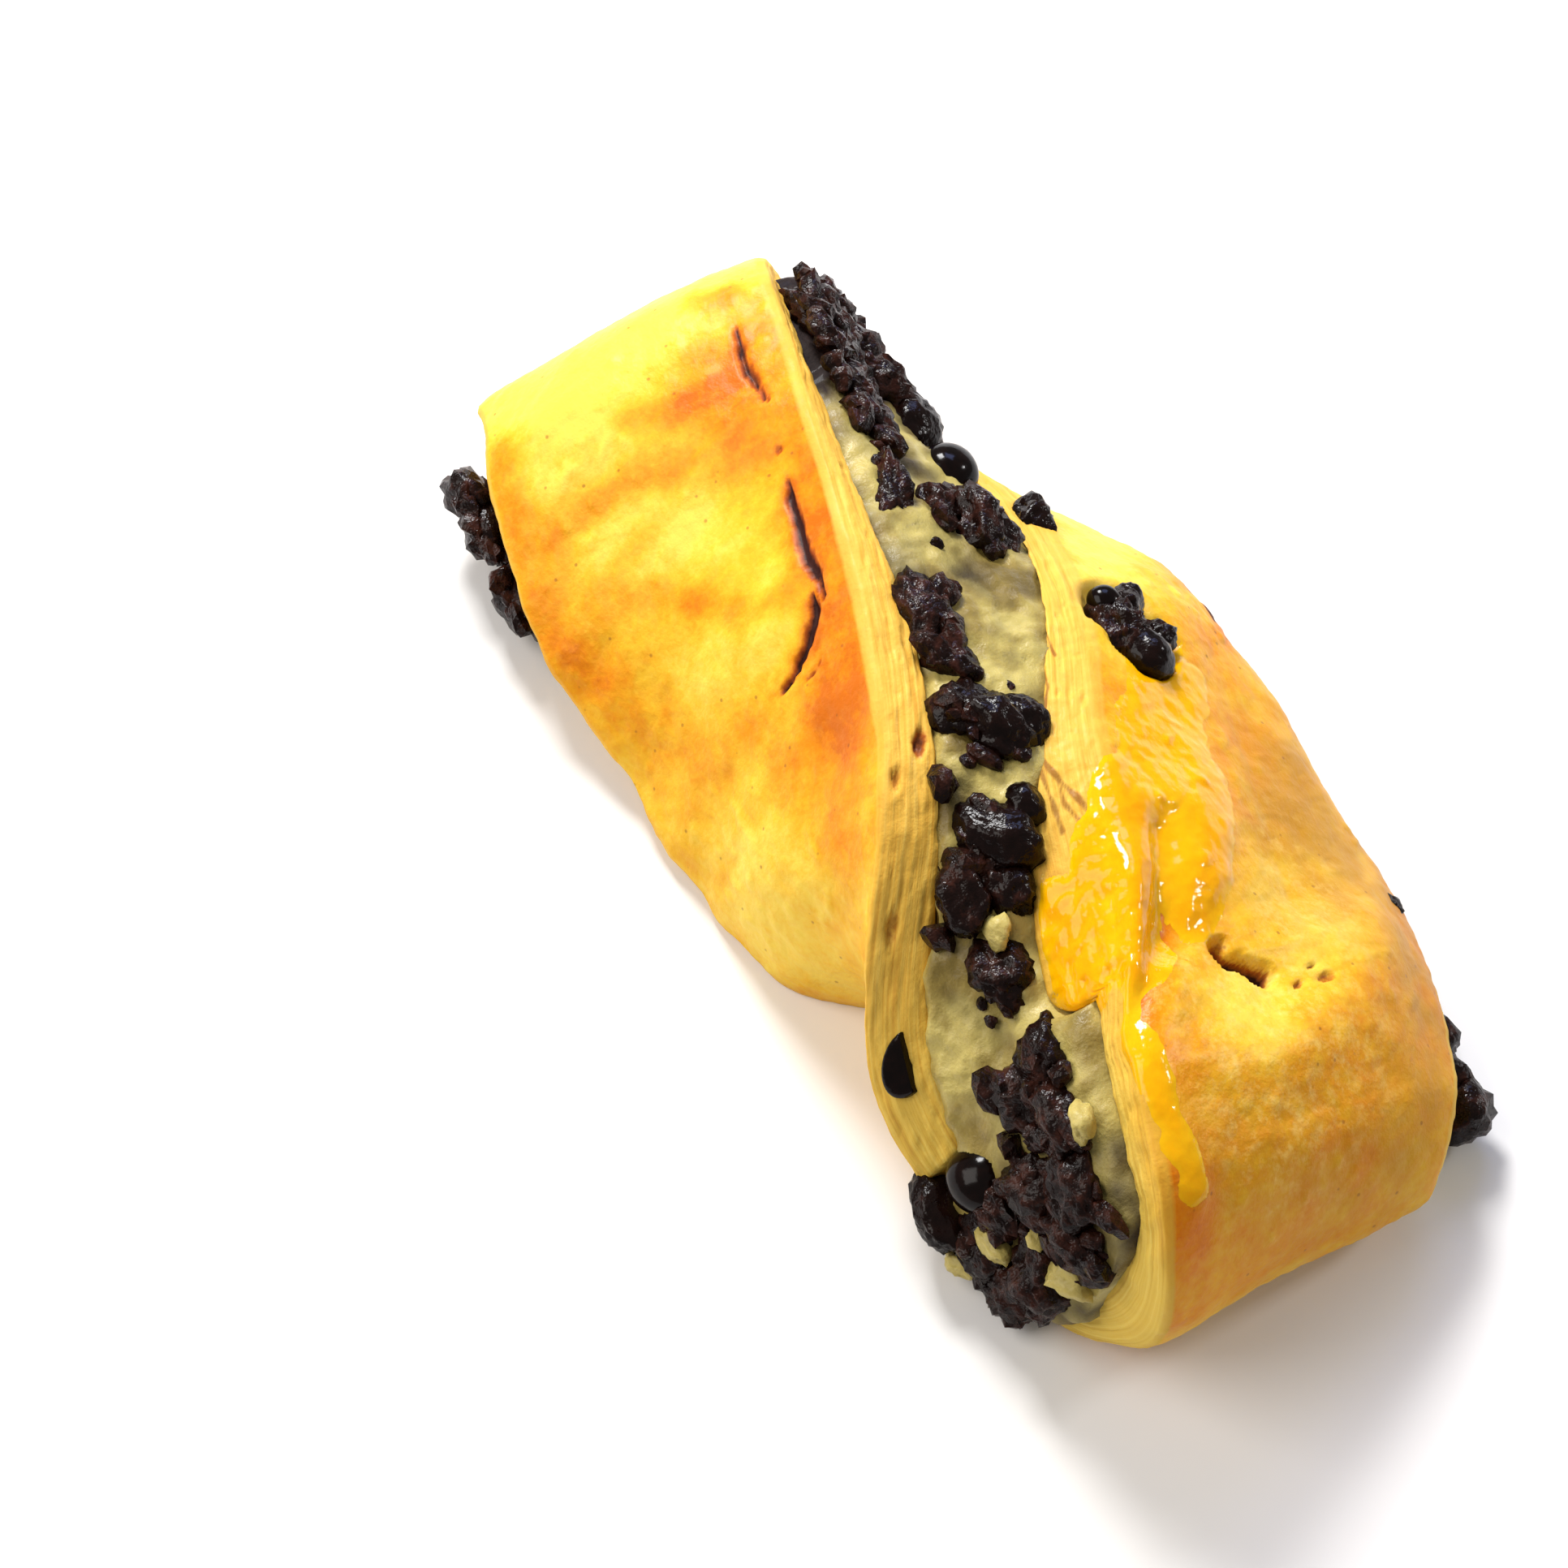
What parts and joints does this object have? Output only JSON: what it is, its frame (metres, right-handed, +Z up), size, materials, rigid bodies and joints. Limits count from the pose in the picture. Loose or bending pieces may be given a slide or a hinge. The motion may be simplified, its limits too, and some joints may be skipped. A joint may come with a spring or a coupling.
{
  "type": "chocolate pastry twist",
  "caption": "Baked twist of laminated dough folded round custard with chocolate chips, given half a turn along its length and lying on its flat underside.",
  "frame": {"origin": "under the middle of the whole piece, on the surface that it lies on", "axes": "+X along the strip from the far end, where the upper layer shows, to the near end; +Z up"},
  "size_m": [0.1549, 0.0827, 0.0407],
  "materials": {
    "baked_dough": "laminated yeast dough, egg-washed and baked golden, glazed in places",
    "custard": "moist set pastry custard",
    "chocolate": "dark chocolate chips, melted and set again",
    "glaze": "thin set apricot glaze"
  },
  "bodies": {
    "root": {"dough": "baked_dough", "custard_with_chips": "custard"}
  },
  "joints": []
}
